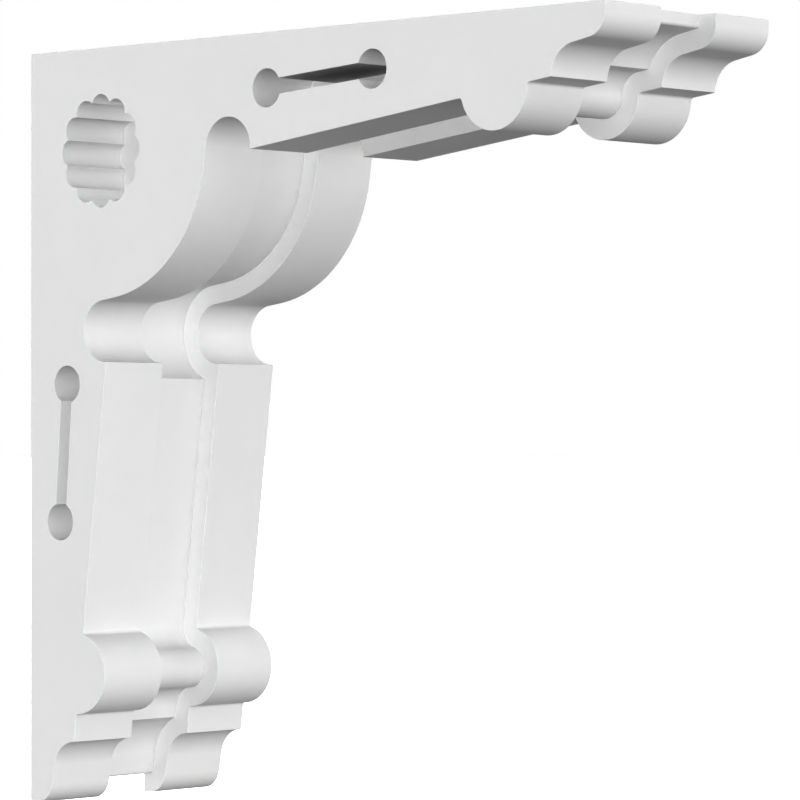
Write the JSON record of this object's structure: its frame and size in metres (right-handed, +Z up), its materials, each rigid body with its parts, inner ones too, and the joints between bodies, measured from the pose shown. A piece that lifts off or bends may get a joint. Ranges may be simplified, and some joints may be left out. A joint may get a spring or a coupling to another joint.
{
  "type": "corbel",
  "caption": "Laminated L-shaped corbel: arm and leg of equal reach, round corner brace, lobed and coved ends, and a scalloped rosette and dumbbell slots cut in its sides.",
  "frame": {"origin": "middle of the flat back, on the wall", "axes": "+Y into the wall, +Z up, X across the thickness of the plates"},
  "size_m": [0.127, 0.4064, 0.4064],
  "materials": {
    "outer_plate_white": "smooth matte white",
    "core_plate_white": "smooth matte white"
  },
  "bodies": {
    "root": {"left_plate": "outer_plate_white", "core_plate": "core_plate_white", "right_plate": "outer_plate_white"}
  },
  "joints": []
}
